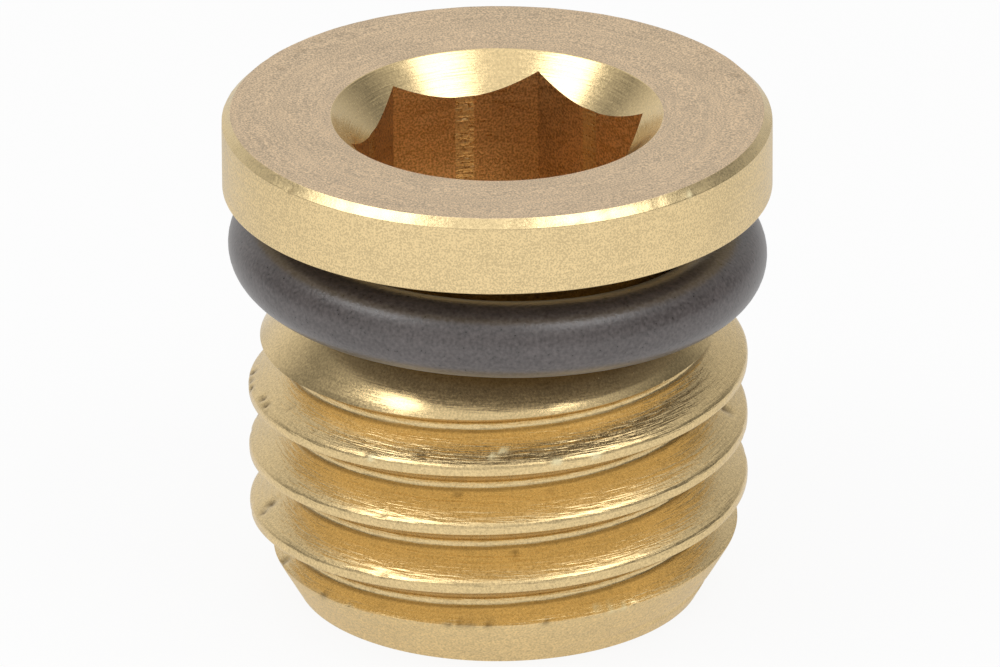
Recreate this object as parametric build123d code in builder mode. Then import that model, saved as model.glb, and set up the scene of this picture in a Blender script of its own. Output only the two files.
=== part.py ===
"""Screw plug with a hexagon socket, a flange and an O-ring under the flange. Millimetres.

The plug stands on its end face with the flange up. The axis is Z, and one corner of the socket lies on +X.
"""
from build123d import *
import os
from math import ceil, cos, hypot, radians, tan

# Thread, M12 x 1.5 right hand
thread_d = 11.8
thread_pitch = 1.5
thread_flank_angle = 30.0
thread_depth = 0.95
thread_crest = 0.23
thread_phase = 0.59

# Flange
flange_d = 12.9
flange_t = 1.85
flange_chamfer = 0.2
face_dish = 0.09

# Neck under the flange, which holds the O-ring, and its cone up to the thread
neck_d = 9.0
neck_length = 2.62
neck_cone_angle = 41.0
neck_fillet = 0.2

# Threaded length from the neck to the end face, and the end's chamfer
shank_length = 7.53
end_chamfer_angle = 30.0
end_d = 9.54

# Socket
key_size = 6.1
socket_depth = 5.0
drill_depth = 6.0
drill_point_angle = 118.0
drill_strip = 0.5
countersink_d = 7.78
countersink_angle = 90.0

# O-ring: it hangs a little off level on the neck
ring_section = 1.78
ring_clearance = 0.05
ring_drop = 0.73
ring_lean = 1.9

# Levels above the end face
neck_bottom = shank_length
flange_bottom = neck_bottom + neck_length
total_height = flange_bottom + flange_t

# Derived radii and heights
thread_r = thread_d / 2
neck_r = neck_d / 2
flange_r = flange_d / 2
end_r = end_d / 2
neck_cone_height = (thread_r - neck_r) / tan(radians(neck_cone_angle))
end_chamfer_height = (thread_r - end_r) / tan(radians(end_chamfer_angle))
corner_r = key_size / 2 / cos(radians(30))
drill_r = hypot(key_size / 2, drill_strip / 2)
drill_point = drill_r / tan(radians(drill_point_angle / 2))
countersink_r = countersink_d / 2
countersink_mouth = total_height - face_dish
countersink_depth = countersink_r / tan(radians(countersink_angle / 2))
ring_r = neck_r + ring_clearance + ring_section / 2
ring_z = flange_bottom - ring_drop - ring_section / 2

# Thread groove: half widths at the root and at the cutter's back, which stands just clear of the crest
root_r = thread_r - thread_depth
root_half_gap = (thread_pitch - thread_crest) / 2 - thread_depth * tan(radians(thread_flank_angle))
back_half_gap = thread_pitch / 2 - thread_crest / 4
back_r = root_r + (back_half_gap - root_half_gap) / tan(radians(thread_flank_angle))
groove_start = thread_phase - thread_pitch
groove_turns = ceil((neck_bottom - groove_start) / thread_pitch)

with BuildPart() as groove_turn:
    with BuildLine() as turn_path:
        Helix(thread_pitch, thread_pitch, thread_r, center=(0, 0, groove_start))
    with BuildSketch(Plane.XZ):
        with BuildLine():
            Polyline(
                (root_r, groove_start - root_half_gap),
                (root_r, groove_start + root_half_gap),
                (back_r, groove_start + back_half_gap),
                (back_r, groove_start - back_half_gap),
                close=True,
            )
        make_face()
    sweep(path=turn_path.wire(), is_frenet=True)

# A sweep can come out inside out, which would leave the groove standing
groove = groove_turn.part.solid()
if groove.volume < 0:
    groove = Solid(groove.wrapped.Reversed())

with BuildPart() as plug_body:
    # Turned outside
    with BuildSketch(Plane.XZ):
        with BuildLine():
            Polyline(
                (0, 0),
                (end_r, 0),
                (thread_r, end_chamfer_height),
                (thread_r, neck_bottom - neck_cone_height),
                (neck_r, neck_bottom),
                (neck_r, flange_bottom),
                (flange_r, flange_bottom),
                (flange_r, total_height - flange_chamfer),
                (flange_r - flange_chamfer, total_height),
                (countersink_r, countersink_mouth),
                (0, countersink_mouth),
                close=True,
            )
        make_face()
    revolve(axis=Axis.Z)
    flange_underside = plug_body.edges().filter_by_position(Axis.Z, flange_bottom, flange_bottom)
    flange_corner = flange_underside.filter_by(GeomType.CIRCLE).sort_by(SortBy.RADIUS)[0]
    fillet(flange_corner, neck_fillet)

    # Helical groove, turn by turn from below the end face up into the neck
    for turn in range(groove_turns):
        with Locations((0, 0, turn * thread_pitch)):
            add(groove, mode=Mode.SUBTRACT)

    # Drilled hole with its point, then the broached hexagon and the countersink
    with BuildSketch(Plane.XZ):
        with BuildLine():
            Polyline(
                (0, total_height),
                (drill_r, total_height),
                (drill_r, total_height - drill_depth),
                (0, total_height - drill_depth - drill_point),
                close=True,
            )
        make_face()
    revolve(axis=Axis.Z, mode=Mode.SUBTRACT)
    with BuildSketch(Plane.XY.offset(total_height)):
        RegularPolygon(corner_r, 6)
    extrude(amount=-socket_depth, mode=Mode.SUBTRACT)
    with BuildSketch(Plane.XZ):
        with BuildLine():
            Polyline(
                (0, countersink_mouth),
                (countersink_r, countersink_mouth),
                (0, countersink_mouth - countersink_depth),
                close=True,
            )
        make_face()
    revolve(axis=Axis.Z, mode=Mode.SUBTRACT)

ring_plane = Plane((0, 0, ring_z), x_dir=(1, 0, 0), z_dir=(0, 0, 1)).rotated((0, ring_lean, 0))
with BuildPart() as o_ring:
    with BuildSketch(Plane(ring_plane.origin, x_dir=ring_plane.x_dir, z_dir=-ring_plane.y_dir)):
        with Locations((ring_r, 0)):
            Circle(ring_section / 2)
    revolve(axis=Axis(ring_plane.origin, ring_plane.z_dir))

os.makedirs("parts", exist_ok=True)
for name, piece in (("plug_body", plug_body), ("o_ring", o_ring)):
    piece.part.label = name
    export_step(piece.part, "parts/" + name + ".step")
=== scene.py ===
"""Looks of the threaded plug: a turned brass body with a hexagon socket, and the rubber ring on its neck."""
from math import cos, hypot, pi, radians, sin, tan

import bpy
import numpy as np
from mathutils import Matrix, Vector


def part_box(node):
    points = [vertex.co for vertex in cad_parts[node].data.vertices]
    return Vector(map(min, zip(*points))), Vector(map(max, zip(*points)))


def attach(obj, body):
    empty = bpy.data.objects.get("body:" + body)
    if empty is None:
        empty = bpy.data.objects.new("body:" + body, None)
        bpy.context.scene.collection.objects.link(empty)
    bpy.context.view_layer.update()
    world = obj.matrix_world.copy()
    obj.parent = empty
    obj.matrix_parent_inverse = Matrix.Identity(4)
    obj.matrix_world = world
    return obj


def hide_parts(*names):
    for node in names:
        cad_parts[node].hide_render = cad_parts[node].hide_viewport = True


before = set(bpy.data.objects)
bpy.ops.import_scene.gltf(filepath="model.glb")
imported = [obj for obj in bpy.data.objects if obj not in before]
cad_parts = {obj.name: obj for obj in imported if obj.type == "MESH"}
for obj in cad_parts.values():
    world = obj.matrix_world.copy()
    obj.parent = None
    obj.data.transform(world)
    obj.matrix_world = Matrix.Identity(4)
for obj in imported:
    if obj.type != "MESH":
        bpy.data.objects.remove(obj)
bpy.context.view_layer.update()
body_low, body_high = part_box("plug_body")
ring_low, ring_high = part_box("o_ring")

MM = 0.001

# Plug, in millimetres: overall sizes from the frame, the rest as the solid has them
total_height = body_high.z / MM
flange_r = (body_high.x - body_low.x) / 2 / MM
flange_t = 1.85
flange_chamfer = 0.2
face_dish = 0.09
neck_r = 4.5
neck_length = 2.62
neck_cone_slope = tan(radians(41))
neck_fillet = 0.2
flange_bottom = total_height - flange_t
neck_bottom = flange_bottom - neck_length

# Thread
thread_r = 5.9
thread_pitch = 1.5
thread_depth = 0.95
thread_crest = 0.23
thread_phase = 0.59
flank_slope = tan(radians(30))
root_r = thread_r - thread_depth
groove_half = (thread_pitch - thread_crest) / 2
root_half = groove_half - thread_depth * flank_slope
end_r = 4.77
end_chamfer_slope = tan(radians(30))

# Roundings of edges in the mesh
root_rounding = 0.05
runout_rounding = 0.03
neck_rounding = 0.12
flange_rounding = 0.04
chamfer_rounding = 0.03
lip_rounding = 0.05

# Levels where the mesh of the thread meets the end face and the neck
shank_bottom = 0.032
shank_top = neck_bottom + 0.4

# Socket
half_key = 6.1 / 2
socket_depth = 5.0
drill_depth = 6.0
drill_strip = 0.5
half_drill_point = radians(59)
countersink_r = 3.89
countersink_mouth = total_height - face_dish
socket_floor = total_height - socket_depth
drill_r = hypot(half_key, drill_strip / 2)
drill_floor = total_height - drill_depth
drill_tip = drill_floor - drill_r / tan(half_drill_point)

# Ring: its radius from the frame, its section and lean as the solid has them
ring_section_r = 1.78 / 2
ring_r = (ring_high.y - ring_low.y) / 2 / MM - ring_section_r
ring_lean = radians(1.9)

# Mesh density: columns round the axis, a multiple of six so that columns meet the socket's corners
COLUMNS = 300
angles = np.arange(COLUMNS) * 2 * pi / COLUMNS

# Edges that turn by more than this shade as sharp ones
sharp_angle = radians(35)


def smooth_min(a, b, width):
    """The lower of a and b, with the corner between them rounded over about width."""
    return 0.5 * (a + b - np.sqrt((a - b) ** 2 + width ** 2))


def smooth_max(a, b, width):
    return -smooth_min(-a, -b, width)


class RevolvedMesh:
    """Collects vertices and faces in millimetres, column by column round the axis."""

    def __init__(self):
        self.points = []
        self.faces = []
        self.face_materials = []
        self.count = 0

    def add_points(self, radius, height, theta):
        """Adds points given in polar form and returns their numbers, in the shape of the arrays."""
        radius, height, theta = np.broadcast_arrays(radius, height, theta)
        xyz = np.stack([radius * np.cos(theta), radius * np.sin(theta), height], axis=-1)
        numbers = np.arange(self.count, self.count + radius.size).reshape(radius.shape)
        self.points.append(xyz.reshape(-1, 3))
        self.count += radius.size
        return numbers

    def add_quads(self, a, b, c, d, material):
        quads = np.stack([a, b, c, d], axis=-1).reshape(-1, 4)
        self.faces.append(quads)
        self.face_materials.append(np.broadcast_to(material, np.shape(a)).reshape(-1))

    def strip(self, rings, material):
        """Joins rings of numbers, each of COLUMNS numbers, so that the outside is on the right going up."""
        for lower, upper in zip(rings[:-1], rings[1:]):
            self.add_quads(lower, np.roll(lower, -1), np.roll(upper, -1), upper, material)

    def to_object(self, name, materials):
        points = np.concatenate(self.points)
        _, first, where = np.unique(np.round(points, 6), axis=0, return_index=True, return_inverse=True)
        where = where.reshape(-1)
        faces = []
        slots = []
        for quads, slot in zip(self.faces, self.face_materials):
            for quad, number in zip(where[quads].tolist(), slot.tolist()):
                corners = [v for k, v in enumerate(quad) if v != quad[k - 1]]
                if len(set(corners)) >= 3:
                    faces.append(corners)
                    slots.append(number)
        mesh = bpy.data.meshes.new(name)
        mesh.from_pydata((points[first] * MM).tolist(), [], faces)
        mesh.polygons.foreach_set("material_index", slots)
        mesh.polygons.foreach_set("use_smooth", [True] * len(faces))
        for material in materials:
            mesh.materials.append(material)
        mesh.validate()
        piece = bpy.data.objects.new(name, mesh)
        bpy.context.scene.collection.objects.link(piece)
        return piece


def rounded_profile(corners, radii, support=0.04, arc_steps=4):
    """A polyline through corners, (radius, height) each, with its inner corners rounded.

    A point stands just beside each rounding, so that flat stretches shade flat.
    """
    corners = [np.array(c, float) for c in corners]
    line = [corners[0]]
    for before, corner, after, radius in zip(corners[:-2], corners[1:-1], corners[2:], radii):
        back = (before - corner) / np.linalg.norm(before - corner)
        ahead = (after - corner) / np.linalg.norm(after - corner)
        half_angle = np.arccos(np.clip(back @ ahead, -1, 1)) / 2
        reach = radius / tan(half_angle)
        centre = corner + (back + ahead) / np.linalg.norm(back + ahead) * radius / sin(half_angle)
        start = corner + back * reach
        end = corner + ahead * reach
        line.append(corner + back * (reach + support))
        for step in np.linspace(0, 1, arc_steps + 1):
            spoke = start + (end - start) * step - centre
            line.append(centre + spoke / np.linalg.norm(spoke) * radius)
        line.append(corner + ahead * (reach + support))
    line.append(corners[-1])
    return line


# Places in the list of materials of the body
SHANK, SIDE, RIM, FACE, SINK, SOCKET, STRIP, END = range(8)


def crest_wear(turns):
    """How far the crest is worn back, in millimetres, along the thread counted in turns."""
    dents = 90
    random = np.random.default_rng(12)
    wear = 0.012 + 0.008 * np.sin(turns * 23.0) * np.sin(turns * 61.0 + 1.0)
    for place, width, depth in zip(random.uniform(-1, 6, dents), random.uniform(0.003, 0.012, dents),
                                   random.uniform(0.01, 0.06, dents) ** 1.3):
        wear = wear + depth * np.exp(-((turns - place) / width) ** 2)
    return wear


def cone_radii(height):
    """Radii of the end chamfer, and of the neck with its cone."""
    end_cone = end_r + height * end_chamfer_slope
    sloped = neck_r + (neck_bottom - height) * neck_cone_slope
    neck_cone = smooth_max(np.full_like(height, neck_r), sloped, neck_rounding)
    return end_cone, neck_cone


def thread_radius(groove_offset, turns):
    """Radius of the thread alone. groove_offset is the height above the groove's middle.

    The upper edge of each crest is rounder than the lower one.
    """
    flank = root_r + (np.abs(groove_offset) - root_half) / flank_slope
    radius = smooth_max(np.full_like(flank, root_r), flank, root_rounding)
    onto_land = np.clip((np.abs(groove_offset) - groove_half) / (thread_crest / 2), 0, 1)
    upper_edge = 0.08 - 0.03 * onto_land
    lower_edge = 0.03 + 0.05 * onto_land
    edge_width = np.where(groove_offset < 0, upper_edge, lower_edge)
    return smooth_min(radius, thread_r - crest_wear(turns), edge_width)


def snap_rows(height, gap):
    """Moves, in each column, the point nearest to where gap changes sign onto that place."""
    before, after = gap[:, :-1], gap[:, 1:]
    crossing = before * after < 0
    share = np.where(crossing, before / np.where(crossing, before - after, 1), 0)
    place = height[:, :-1] + share * np.diff(height, axis=1)
    snapped = height.copy()
    snapped[:, :-1] = np.where(crossing & (share < 0.5), place, snapped[:, :-1])
    snapped[:, 1:] = np.where(crossing & (share >= 0.5), place, snapped[:, 1:])
    return snapped


# Mesh lines along the thread: heights from the groove's middle, closest at the corners of root and crest
GROOVE_LINES = [0.0, 0.04, 0.062, 0.074, 0.084, 0.094, 0.106, 0.13, 0.17, 0.24, 0.32, 0.40, 0.48, 0.54, 0.58,
                0.605, 0.623, 0.637, 0.652, 0.672, 0.70]


def add_thread(mesh):
    """Meshes the shank on lines that follow the helix.

    Returns its lowest and highest rings, and the radius of the lowest one in each column.
    """
    offsets = np.array([-thread_pitch / 2] + [-line for line in GROOVE_LINES[:0:-1]] + GROOVE_LINES)
    per_pitch = len(offsets)
    first_turn = -2
    last_turn = int(np.ceil((shank_top - thread_phase) / thread_pitch))
    turn_numbers = np.repeat(np.arange(first_turn, last_turn + 1), per_pitch)
    offset = np.tile(offsets, last_turn + 1 - first_turn)
    start = thread_phase + turn_numbers * thread_pitch + offset
    climb = thread_pitch * angles / (2 * pi)
    raw = start[None, :] + climb[:, None]

    def along_thread(height):
        climbed = offset[None, :] + height - raw
        groove = (climbed + thread_pitch / 2) % thread_pitch - thread_pitch / 2
        turns = np.floor(turn_numbers[None, :] + climbed / thread_pitch) + angles[:, None] / (2 * pi)
        return thread_radius(groove, turns)

    height = np.clip(raw, shank_bottom, shank_top)
    for cone in (0, 1):
        height = snap_rows(height, along_thread(height) - cone_radii(height)[cone])
    end_cone, neck_cone = cone_radii(height)
    radius = smooth_min(along_thread(height), end_cone, runout_rounding)
    radius = smooth_min(radius, neck_cone, runout_rounding)
    number = mesh.add_points(radius, height, angles[:, None])
    here, there = number[:-1], number[1:]
    mesh.add_quads(here[:, :-1], there[:, :-1], there[:, 1:], here[:, 1:], SHANK)
    last, next_turn = number[-1, :-per_pitch], number[0, per_pitch:]
    mesh.add_quads(last[:-1], next_turn[:-1], next_turn[1:], last[1:], SHANK)
    return number[:, 0], number[:, -1], radius[:, 0]


def add_rings(mesh, line):
    """Adds one ring for each (radius, height) of line, where both may be one value or one for each column."""
    return [mesh.add_points(r, z, angles) for r, z in line]


# Marks from making and handling: angle in degrees, radius and height of the middle, then reach and depth.
# A mark with a negative depth is a chip that stands proud.
MARKS = [
    # Pits on the flanks of the thread
    (178.0, 5.50, 2.43, 0.13, 0.07), (179.7, 5.72, 2.30, 0.09, 0.05), (338.2, 5.40, 4.65, 0.13, 0.08),
    (260.1, 5.14, 2.98, 0.08, 0.06), (245.4, 5.09, 4.45, 0.07, 0.05), (227.7, 5.81, 3.94, 0.08, 0.05),
    (227.7, 5.82, 2.43, 0.08, 0.05), (182.0, 5.28, 1.06, 0.12, 0.07), (269.6, 5.15, 4.51, 0.07, 0.05),
    # Nicks along the crests
    (171.7, 5.86, 5.15, 0.09, 0.07), (181.0, 5.73, 5.30, 0.09, 0.06), (163.4, 5.80, 5.18, 0.09, 0.06),
    (184.8, 5.77, 5.29, 0.08, 0.06), (193.5, 5.43, 5.53, 0.07, 0.05), (167.5, 5.83, 5.16, 0.08, 0.06),
    # Burrs and chips where the thread runs out over the end chamfer
    (243.2, 5.45, 1.22, 0.07, 0.06), (246.4, 5.41, 1.25, 0.09, 0.06), (248.9, 5.43, 1.25, 0.08, 0.06),
    (253.4, 5.44, 1.27, 0.09, 0.06), (267.4, 5.49, 1.29, 0.08, 0.05), (281.2, 5.42, 1.40, 0.08, -0.04),
    (284.6, 5.45, 1.39, 0.09, -0.05), (287.8, 5.48, 1.39, 0.08, -0.04), (205.7, 5.38, 1.07, 0.08, 0.05),
    # Chips on the upper crest
    (225.6, 5.84, 5.39, 0.07, -0.04), (254.6, 5.60, 5.69, 0.08, -0.05), (257.3, 5.51, 5.75, 0.07, -0.04),
    (269.4, 5.85, 5.57, 0.08, -0.05), (278.9, 5.86, 5.58, 0.07, -0.04),
    # Knocks on the rim of the flange and on its face
    (299.8, 6.39, 11.86, 0.07, -0.03), (207.6, 6.41, 11.84, 0.08, 0.03), (291.1, 6.36, 11.89, 0.08, 0.03),
    (138.9, 5.67, 11.98, 0.10, 0.018), (127.9, 5.89, 11.99, 0.10, 0.02), (120.9, 5.97, 11.99, 0.10, 0.02),
    (20.6, 6.00, 11.99, 0.10, 0.02), (5.9, 5.99, 11.99, 0.10, 0.02), (356.2, 5.85, 11.99, 0.10, 0.018),
]

# Wear along the rim of the flange, and the depth at which a mark is painted fully dark as shade
rim_reach = 0.16
rim_wear = 0.012
full_shade_depth = 0.06


def small_marks(random):
    """Small marks at random, on the thread and along the rim of the flange."""
    on_thread = [(random.uniform(0, 360), random.uniform(5.2, 5.85), random.uniform(1.5, 6.5), 0.07,
                  random.uniform(0.02, 0.05))
                 for _ in range(60)]
    on_rim = [(random.uniform(0, 360), flange_r - 0.08, total_height - 0.1, 0.08, random.uniform(0.01, 0.03))
              for _ in range(30)]
    return on_thread + on_rim


def vertex_values(mesh, name):
    values = np.empty(len(mesh.vertices) * 3)
    mesh.vertices.foreach_get(name, values)
    return values.reshape(-1, 3)


def wear_body(piece):
    """Wears the rim of the flange unevenly and presses the marks into the mesh, along its normals.

    The mesh's attributes say where marks are painted dark as shade, deeper ones darker, and where chips are
    painted pale as glints.
    """
    mesh = piece.data
    points = vertex_values(mesh, "co") / MM
    normals = vertex_values(mesh, "normal")
    x, y, z = points.T
    around = np.arctan2(y, x)
    random = np.random.default_rng(7)
    waves = (7, 13, 22, 37, 58, 83)
    uneven = sum(np.sin(around * k + random.uniform(0, 2 * pi)) for k in waves) / len(waves)
    outwards = np.hypot(x, y) - flange_r + flange_chamfer / 2
    upwards = z - total_height + flange_chamfer / 2
    rim = np.exp(-(np.hypot(outwards, upwards) / rim_reach) ** 2)
    press = rim_wear * (1 + uneven) * rim
    mark_shade = np.zeros(len(points))
    chip_glint = np.zeros(len(points))
    for angle, radius, height, reach, depth in MARKS + small_marks(random):
        middle = np.array([radius * cos(radians(angle)), radius * sin(radians(angle)), height])
        near = np.exp(-np.sum((points - middle) ** 2, axis=1) / reach ** 2)
        press = press + depth * near
        # Painted shade: a mark that sinks in is painted darker, the deeper the darker
        mark_shade = np.maximum(mark_shade, near * np.clip(depth / full_shade_depth, 0, 1))
        # Painted glint: a chip that stands proud is painted pale
        if depth < 0:
            chip_glint = np.maximum(chip_glint, np.clip(2 * near, 0, 1))
    points = (points - normals * press[:, None]) * MM
    mesh.vertices.foreach_set("co", points.reshape(-1))
    for name, values in (("mark_shade", mark_shade), ("chip_glint", chip_glint)):
        mesh.attributes.new(name, "FLOAT", "POINT").data.foreach_set("value", values)
    mesh.update()


def add_end_face(mesh, rim, rim_r):
    """The end face, from its middle to its rounded edge and on to the thread's lowest ring."""
    face = [(r, 0.0) for r in (0.0, 1.0, 2.0, 3.0, 4.0, 4.4, 4.6)]
    edge = [(rim_r - 0.05, 0.0), (rim_r - 0.025, 0.004), (rim_r - 0.008, 0.014)]
    mesh.strip(add_rings(mesh, face + edge) + [rim], END)


def add_flange(mesh, ring, ring_spacing=0.13):
    """The neck and the flange, from the thread's highest ring up.

    Returns the ring at the lip of the countersink, and its radius and height. The side and the face have
    rings about ring_spacing apart, so that marks show there.
    """
    corners = [(neck_r, shank_top), (neck_r, flange_bottom), (flange_r, flange_bottom),
               (flange_r, total_height - flange_chamfer), (flange_r - flange_chamfer, total_height),
               (countersink_r, countersink_mouth), (half_key, countersink_mouth - countersink_r + half_key)]
    radii = [neck_fillet, flange_rounding, chamfer_rounding, chamfer_rounding, lip_rounding]
    line = rounded_profile(corners, radii)
    # Surface of each stretch between two points of the line, where a rounded corner has seven points
    surfaces = [SHANK] * 12 + [SIDE] * 5 + [RIM] * 7 + [FACE] * 7 + [SINK] * 4
    for surface, start, end in zip(surfaces, line[:-2], line[1:-1]):
        steps = 1 + int(np.linalg.norm(end - start) / ring_spacing) if surface in (SIDE, FACE) else 1
        rings = [ring] + add_rings(mesh, [start + (end - start) * k / steps for k in range(1, steps + 1)])
        mesh.strip(rings, surface)
        ring = rings[-1]
    return ring, line[-2]


def add_socket(mesh, ring, lip):
    """The countersink down to the hexagon, its flats with the strips that the drill left, and the hole."""
    hexagon = half_key / np.cos(np.mod(angles, pi / 3) - pi / 6)
    wall_r = np.maximum(hexagon, drill_r)
    lip_r, lip_z = lip
    cone = []
    for share in np.linspace(0, 1, 9)[1:]:
        r = lip_r + (wall_r - lip_r) * share
        cone.append((r, lip_z - (lip_r - r)))
    sink = [ring] + add_rings(mesh, cone)
    mesh.strip(sink, SINK)
    edge_z = cone[-1][1]
    flats = [(wall_r, edge_z + (socket_floor - edge_z) * share) for share in np.linspace(0, 1, 11)[1:]]
    walls = [sink[-1]] + add_rings(mesh, flats)
    mesh.strip(walls, np.where(hexagon <= drill_r, STRIP, SOCKET))
    hole = [(drill_r, socket_floor), (drill_r, (socket_floor + drill_floor) / 2), (drill_r, drill_floor),
            (drill_r / 2, (drill_floor + drill_tip) / 2), (0.0, drill_tip)]
    mesh.strip([walls[-1]] + add_rings(mesh, hole), SOCKET)


def build_plug_body(materials):
    mesh = RevolvedMesh()
    low_ring, high_ring, low_r = add_thread(mesh)
    add_end_face(mesh, low_ring, low_r)
    lip_ring, lip = add_flange(mesh, high_ring)
    add_socket(mesh, lip_ring, lip)
    piece = mesh.to_object("plug_body_turned", materials)
    wear_body(piece)
    piece.data.set_sharp_from_angle(angle=sharp_angle)
    return piece


def build_ring(material):
    """The rubber ring, leaning a little on the neck as the solid does."""
    turns, steps = 240, 48
    around = np.arange(turns) * 2 * pi / turns
    about = np.arange(steps) * 2 * pi / steps
    a, b = np.meshgrid(around, about, indexing="ij")
    r = ring_r + ring_section_r * np.cos(b)
    flat = np.stack([r * np.cos(a), r * np.sin(a), ring_section_r * np.sin(b)], axis=-1).reshape(-1, 3)
    tilt = np.array(Matrix.Rotation(ring_lean, 3, "Y"))
    middle = np.array([0, 0, (ring_low.z + ring_high.z) / 2])
    points = flat @ tilt.T * MM + middle
    number = np.arange(turns * steps).reshape(turns, steps)
    next_around = np.roll(number, -1, axis=0)
    corners = [number, next_around, np.roll(next_around, -1, axis=1), np.roll(number, -1, axis=1)]
    quads = np.stack(corners, axis=-1)
    mesh = bpy.data.meshes.new("o_ring_rubber")
    mesh.from_pydata(points.tolist(), [], quads.reshape(-1, 4).tolist())
    mesh.polygons.foreach_set("use_smooth", [True] * len(mesh.polygons))
    mesh.materials.append(material)
    piece = bpy.data.objects.new("o_ring_rubber", mesh)
    bpy.context.scene.collection.objects.link(piece)
    return piece


# Materials

class Nodes:
    """The node tree of a material or of the world, with short ways to add nodes to it."""

    def __init__(self, owner):
        self.owner = owner
        owner.use_nodes = True
        self.tree = owner.node_tree

    def add(self, kind, inputs=None, **settings):
        """Adds a node. Each input is a constant or another node's socket."""
        node = self.tree.nodes.new(kind)
        for key, value in settings.items():
            setattr(node, key, value)
        for key, value in (inputs or {}).items():
            if isinstance(value, bpy.types.NodeSocket):
                self.tree.links.new(value, node.inputs[key])
            else:
                node.inputs[key].default_value = value
        return node

    def link(self, value, name, node="Principled BSDF"):
        self.tree.links.new(value, self.tree.nodes[node].inputs[name])

    def math(self, operation, *values):
        return self.add("ShaderNodeMath", dict(enumerate(values)), operation=operation).outputs[0]

    def weighted(self, *terms):
        """The sum of sockets, each given with its weight."""
        parts = [self.math("MULTIPLY", value, weight) for value, weight in terms]
        total = parts[0]
        for part in parts[1:]:
            total = self.math("ADD", total, part)
        return total

    def map_range(self, value, start, end, at_start, at_end):
        node = self.add("ShaderNodeMapRange", {0: value, 1: start, 2: end, 3: at_start, 4: at_end})
        return node.outputs[0]

    def mix(self, share, colour, other, blend_type="MIX"):
        node = self.add("ShaderNodeMixRGB", {0: share, 1: colour, 2: other}, blend_type=blend_type)
        return node.outputs[0]

    def dot(self, vector, direction):
        node = self.add("ShaderNodeVectorMath", {0: vector, 1: direction}, operation="DOT_PRODUCT")
        return node.outputs["Value"]

    def combine(self, x, y, z=0.0):
        return self.add("ShaderNodeCombineXYZ", {0: x, 1: y, 2: z}).outputs[0]

    def split(self, vector):
        return self.add("ShaderNodeSeparateXYZ", {0: vector}).outputs

    def coordinates(self, kind):
        return self.add("ShaderNodeTexCoord").outputs[kind]

    def place(self):
        """Sockets for the place on the part in millimetres: the vector, x, y, z and the radius."""
        metres = self.coordinates("Object")
        scaled = self.add("ShaderNodeVectorMath", {0: metres, 1: (1 / MM,) * 3}, operation="MULTIPLY")
        vector = scaled.outputs[0]
        x, y, z = self.split(vector)
        squares = self.math("ADD", self.math("MULTIPLY", x, x), self.math("MULTIPLY", y, y))
        return vector, x, y, z, self.math("SQRT", squares)

    def noise(self, vector, w, scale, detail):
        node = self.add("ShaderNodeTexNoise", {"Vector": vector, "W": w, "Scale": scale, "Detail": detail,
                                               "Roughness": 0.5}, noise_dimensions="4D")
        return node.outputs["Fac"]

    def turned(self, direction, across, dash, pitch):
        """Noise drawn out round the axis: dashes about dash millimetres long, pitch millimetres apart."""
        x, y, _ = self.split(direction)
        stretch = turned_radius / dash
        where = self.combine(self.math("MULTIPLY", x, stretch), self.math("MULTIPLY", y, stretch),
                             self.math("MULTIPLY", across, 1 / pitch))
        node = self.add("ShaderNodeTexNoise", {"Vector": where, "Scale": 1.0, "Detail": 2.0,
                                               "Roughness": 0.6})
        return node.outputs["Fac"]

    def ramp(self, value, stops):
        node = self.add("ShaderNodeValToRGB", {0: value})
        first, last = node.color_ramp.elements
        first.position, first.color = stops[0]
        last.position, last.color = stops[-1]
        for position, colour in stops[1:-1]:
            node.color_ramp.elements.new(position).color = colour
        return node.outputs["Color"]

    def bump(self, height, strength=1.0):
        """Bends the normal by a height in millimetres."""
        node = self.add("ShaderNodeBump", {"Height": height, "Strength": strength, "Distance": MM})
        self.link(node.outputs["Normal"], "Normal")


# Brass: the radius at which dashes have their stated length, the length of turning lines, the colour of
# painted shade, and the pale colour painted on chips as glints
turned_radius = 5.5
line_length = 30.0
PAINTED_SHADE = (0.16, 0.10, 0.04, 1)
PAINTED_GLINT = (1.0, 0.86, 0.50, 1)


def shade(colour, share):
    """The colour made lighter or darker, in the same hue."""
    share = min(share, 1 / max(colour))
    return tuple(c * share for c in colour) + (1,)


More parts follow.
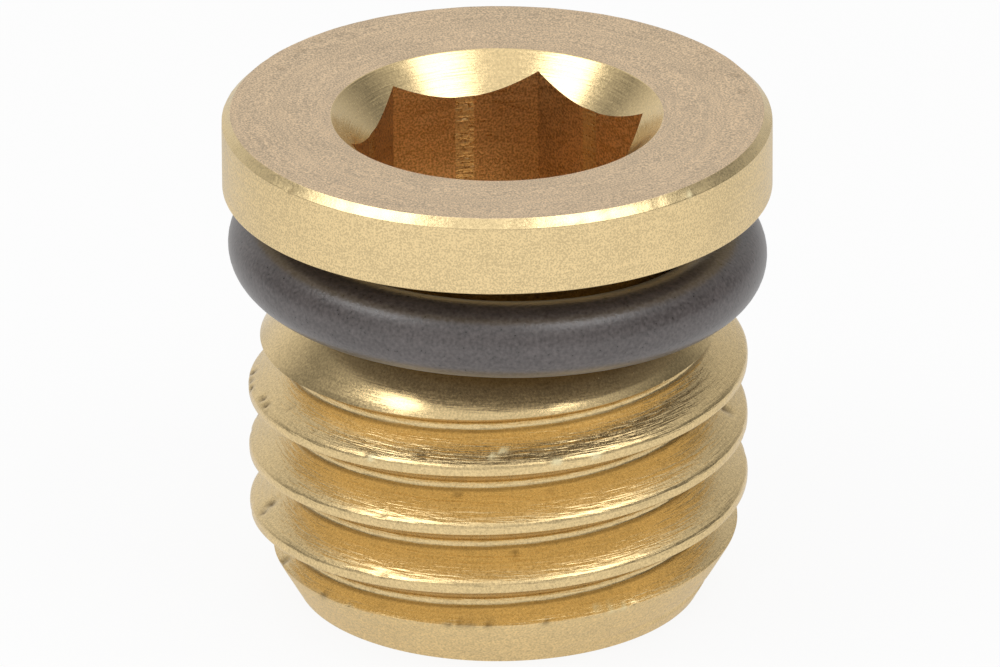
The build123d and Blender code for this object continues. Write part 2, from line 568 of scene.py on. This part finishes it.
def brass(name, colour, roughness, depths, grain=0.22, spread=0.16, grain_scale=19.0, dash=1.2, pitch=0.12,
          line_pitch=0.07, slant=1.37, relief=None, shadow=None):
    """Turned brass: lines and dashes round the axis, and a fine grain in colour, gloss and relief.

    depths holds the depths of the lines, the dashes and the grain. The grain makes the colour lighter and
    darker by a share of grain, and a low spread makes it crisper. slant says how the lines lie on a slope.
    roughness is a number, or a function of the nodes and the place that gives a socket. relief and shadow are
    such functions too: how far the lines stand out, and how far the place is painted dark as shade.
    Marks that sink in are painted dark as shade, and chips are painted a pale, non-metallic colour as glints.
    """
    n = Nodes(bpy.data.materials.new(name))
    vector, x, y, z, radius = n.place()
    across = n.math("ADD", radius, n.math("MULTIPLY", z, slant))
    direction = n.combine(n.math("DIVIDE", x, radius), n.math("DIVIDE", y, radius))
    lines = n.turned(direction, across, line_length, line_pitch)
    dashes = n.turned(direction, across, dash, pitch)
    fine = n.noise(vector, 0.0, grain_scale, detail=1.0)
    slow = n.noise(vector, 3.0, 0.8, detail=2.0)

    tone = n.weighted((fine, 0.72), (dashes, 0.18), (slow, 0.10))
    clean = n.ramp(tone, [(0.5 - spread, shade(colour, 1 - grain)), (0.5 + spread, shade(colour, 1 + grain))])
    # Painted shade: marks that sink in, and any shadow given, darken towards a brown colour
    dark = n.add("ShaderNodeAttribute", attribute_name="mark_shade").outputs["Fac"]
    if shadow:
        dark = n.math("MAXIMUM", dark, shadow(n, x, y, z, radius))
    # Painted glint: chips turn pale and non-metallic so that they look lit
    glint = n.add("ShaderNodeAttribute", attribute_name="chip_glint").outputs["Fac"]
    n.link(n.mix(glint, n.mix(dark, clean, PAINTED_SHADE), PAINTED_GLINT), "Base Color")
    n.link(n.math("SUBTRACT", 1.0, glint), "Metallic")

    gloss = roughness(n, z, radius) if callable(roughness) else roughness
    uneven = n.math("MULTIPLY", n.math("SUBTRACT", n.math("ADD", dashes, fine), 1.0), 0.22)
    n.link(n.math("ADD", gloss, uneven), "Roughness")

    line_depth, dash_depth, grain_depth = depths
    height = n.weighted((lines, line_depth), (dashes, dash_depth), (fine, grain_depth))
    n.bump(height, relief(n, z, radius) if relief else 1.0)
    return n.owner


def along_cone(n, z, radius, on_thread, on_cone, margin=0.10):
    """A value of the thread that changes to another one on the cone under the neck."""
    level = n.math("ADD", radius, n.math("MULTIPLY", z, neck_cone_slope))
    cone_level = neck_r + neck_bottom * neck_cone_slope
    return n.map_range(level, cone_level - margin, cone_level - 0.02, on_thread, on_cone)


def along_end(n, z, radius, on_thread, on_end):
    """A value of the thread that changes to another one on the end chamfer."""
    level = n.math("SUBTRACT", radius, n.math("MULTIPLY", z, end_chamfer_slope))
    return n.map_range(level, end_r - 0.08, end_r - 0.02, on_thread, on_end)


def shank_relief(n, z, radius):
    """The turning lines are deep on the thread and faint on the cone under the neck."""
    return along_cone(n, z, radius, 1.0, 0.12)


def shank_roughness(n, z, radius):
    """The cone under the neck is the smoothest, the thread is satin and the end chamfer is the dullest."""
    return n.math("ADD", along_cone(n, z, radius, 0.28, 0.18), along_end(n, z, radius, 0.0, 0.17))


def groove_painted_shade(n, x, y, z, radius):
    """Painted shade: dark lines in the corner under each ridge's upper flank, and along the lower edge of
    each crest.
    """
    turn = n.math("DIVIDE", n.math("ARCTAN2", y, x), 2 * pi / thread_pitch)
    climbed = n.math("SUBTRACT", n.math("SUBTRACT", z, thread_phase), turn)
    offset = n.math("WRAP", climbed, thread_pitch / 2, -thread_pitch / 2)
    from_corner = n.math("ABSOLUTE", n.math("ADD", offset, root_half + 0.025))
    corner = n.map_range(from_corner, 0.012, 0.045, 0.5, 0.0)
    from_edge = n.math("ABSOLUTE", n.math("SUBTRACT", offset, groove_half - 0.10))
    edge = n.map_range(from_edge, 0.05, 0.12, 0.35, 0.0)
    below_cone = along_cone(n, z, radius, 1.0, 0.0, margin=0.08)
    above_end = along_end(n, z, radius, 1.0, 0.0)
    return n.math("MULTIPLY", n.math("MAXIMUM", corner, edge), n.math("MULTIPLY", below_cone, above_end))


def rubber():
    n = Nodes(bpy.data.materials.new("ring_rubber"))
    vector = n.place()[0]
    grain = n.noise(vector, 0.0, 12.0, detail=1.0)
    mottle = n.noise(vector, 5.0, 0.9, detail=3.0)
    tone = n.weighted((grain, 0.75), (mottle, 0.25))
    n.link(n.ramp(tone, [(0.3, (0.046, 0.037, 0.034, 1)), (0.7, (0.140, 0.118, 0.114, 1))]), "Base Color")
    n.link(n.math("ADD", n.math("MULTIPLY", grain, 0.2), 0.22), "Roughness")
    shader = n.tree.nodes["Principled BSDF"]
    shader.inputs["Specular IOR Level"].default_value = 0.9
    shader.inputs["Sheen Weight"].default_value = 0.12
    shader.inputs["Sheen Roughness"].default_value = 0.4
    n.bump(n.math("MULTIPLY", grain, 0.006))
    return n.owner


BRASS = (0.81, 0.62, 0.325)
body_materials = [
    brass("brass_shank", (0.82, 0.62, 0.315), shank_roughness, (0.005, 0.017, 0.001), dash=0.8, pitch=0.13,
          slant=-1.37, relief=shank_relief, shadow=groove_painted_shade),
    brass("brass_side", (0.85, 0.655, 0.35), 0.34, (0.012, 0.004, 0.004), grain=0.17, spread=0.07,
          grain_scale=23.0),
    brass("brass_rim", (0.86, 0.67, 0.36), 0.30, (0.001, 0.006, 0.003), grain=0.16),
    brass("brass_face", (0.745, 0.572, 0.378), 0.42, (0.006, 0.003, 0.005), grain=0.32, spread=0.13,
          grain_scale=24.0),
    brass("brass_sink", BRASS, 0.21, (0.004, 0.003, 0.0005), grain=0.14),
    brass("brass_socket", (0.77, 0.545, 0.30), 0.34, (0.001, 0.001, 0.006), grain=0.29, spread=0.09),
    brass("brass_strip", (0.82, 0.635, 0.36), 0.3, (0.03, 0.02, 0.004), spread=0.12, dash=0.4,
          line_pitch=0.17),
    brass("brass_end", BRASS, 0.44, (0.004, 0.004, 0.006), spread=0.11),
]
plug = build_plug_body(body_materials)
ring = build_ring(rubber())
for piece, node in ((plug, "plug_body"), (ring, "o_ring")):
    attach(piece, "root")
    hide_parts(node)


# Stage: a white floor and pale surroundings, with a soft lamp on each side

# Camera: looks down on the plug, with a corner of the socket to the right and a little behind
view_azimuth = radians(-13.96)
camera_distance = 367.2
camera_height = total_height + 159.1
camera_tilt = 0.4219
camera_roll = 0.0042
camera_lens = 615.83
sensor_width = 36.0
picture_width = 1000
axis_pixel = 497.986
towards_camera = (sin(view_azimuth), -cos(view_azimuth), 0)
to_right = (cos(view_azimuth), sin(view_azimuth), 0)

# Floor: its reach in metres, and how much of its white the camera and the brass see without shadows
floor_reach = 1.0
seen_share = 0.9
mirrored_share = 0.75
WHITE = (1, 1, 1, 1)


def grey(level):
    return (level, level, level, 1)


def build_floor():
    """A white floor that keeps a soft shadow, and that the brass mirrors a little darker behind the plug."""
    n = Nodes(bpy.data.materials.new("floor_white"))
    shader = n.tree.nodes["Principled BSDF"]
    shader.inputs["Base Color"].default_value = grey(0.9)
    shader.inputs["Roughness"].default_value = 0.9
    path = n.add("ShaderNodeLightPath").outputs
    seen = n.math("MULTIPLY", path["Is Camera Ray"], seen_share)
    mirrored = n.math("MULTIPLY", path["Is Glossy Ray"], mirrored_share)
    ahead = n.dot(n.coordinates("Object"), towards_camera)
    pool = n.map_range(ahead, -25 * MM, 25 * MM, 0.72, 1.0)
    level = n.math("MAXIMUM", path["Is Camera Ray"], pool)
    glow = n.add("ShaderNodeEmission", {"Color": WHITE, "Strength": level})
    surface = n.add("ShaderNodeMixShader", {0: n.math("MAXIMUM", seen, mirrored), 1: shader.outputs[0],
                                            2: glow.outputs[0]})
    n.link(surface.outputs[0], "Surface", "Material Output")
    corners = [(-floor_reach, -floor_reach, 0), (floor_reach, -floor_reach, 0), (floor_reach, floor_reach, 0),
               (-floor_reach, floor_reach, 0)]
    mesh = bpy.data.meshes.new("floor")
    mesh.from_pydata(corners, [], [(0, 1, 2, 3)])
    mesh.materials.append(n.owner)
    floor = bpy.data.objects.new("floor", mesh)
    bpy.context.scene.collection.objects.link(floor)


def build_world():
    """Light grey surroundings: white overhead, pale behind the plug and the camera, darker at the sides."""
    world = bpy.data.worlds.new("surroundings")
    bpy.context.scene.world = world
    n = Nodes(world)
    direction = n.coordinates("Generated")
    facing = n.math("ADD", n.dot(direction, tuple(c / 2 for c in towards_camera)), 0.5)
    levels = [(0, 0.78), (0.12, 0.72), (0.3, 0.26), (0.6, 0.26), (0.8, 0.64), (1, 0.70)]
    around = n.ramp(facing, [(position, grey(level)) for position, level in levels])
    balance = n.map_range(n.dot(direction, to_right), -0.8, 0.8, 1.1, 0.70)
    low = n.mix(1.0, around, balance, blend_type="MULTIPLY")
    rise = n.map_range(n.split(direction)["Z"], 0.5, 0.95, 0.0, 1.0)
    lit = n.mix(rise, low, WHITE)
    seen = n.add("ShaderNodeLightPath").outputs["Is Camera Ray"]
    n.link(n.mix(seen, lit, WHITE), "Color", "Background")


def build_camera():
    data = bpy.data.cameras.new("camera")
    data.sensor_width = sensor_width
    data.lens = camera_lens
    data.shift_x = 0.5 - axis_pixel / picture_width
    data.clip_start = MM
    camera = bpy.data.objects.new("camera", data)
    x, y, _ = towards_camera
    place = Vector((camera_distance * x, camera_distance * y, camera_height)) * MM
    turn = Matrix.Rotation(view_azimuth, 4, "Z") @ Matrix.Rotation(pi / 2 - camera_tilt, 4, "X")
    camera.matrix_world = Matrix.Translation(place) @ turn @ Matrix.Rotation(-camera_roll, 4, "Z")
    bpy.context.scene.collection.objects.link(camera)
    bpy.context.scene.camera = camera


def add_lamp(name, side, elevation, width, height, radiance, distance=110.0):
    """A soft lamp, side degrees to the right of the camera, aimed at the plug."""
    data = bpy.data.lights.new(name, "AREA")
    data.shape = "RECTANGLE"
    data.size = width * MM
    data.size_y = height * MM
    data.energy = radiance * pi * width * height * MM ** 2
    lamp = bpy.data.objects.new(name, data)
    bearing = view_azimuth - pi / 2 + radians(side)
    rise = radians(elevation)
    target = Vector((0, 0, total_height / 2)) * MM
    out = Vector((cos(bearing) * cos(rise), sin(bearing) * cos(rise), sin(rise)))
    lamp.location = target + out * distance * MM
    lamp.rotation_mode = "QUATERNION"
    lamp.rotation_quaternion = (-out).to_track_quat("-Z", "Y")
    bpy.context.scene.collection.objects.link(lamp)


build_floor()
build_world()
build_camera()
add_lamp("lamp_left", side=-72.0, elevation=54.0, width=58.0, height=40.0, radiance=2.9)
add_lamp("lamp_right", side=57.0, elevation=58.0, width=60.0, height=38.0, radiance=2.7)

bpy.context.scene.view_settings.view_transform = "Standard"
bpy.context.view_layer.update()
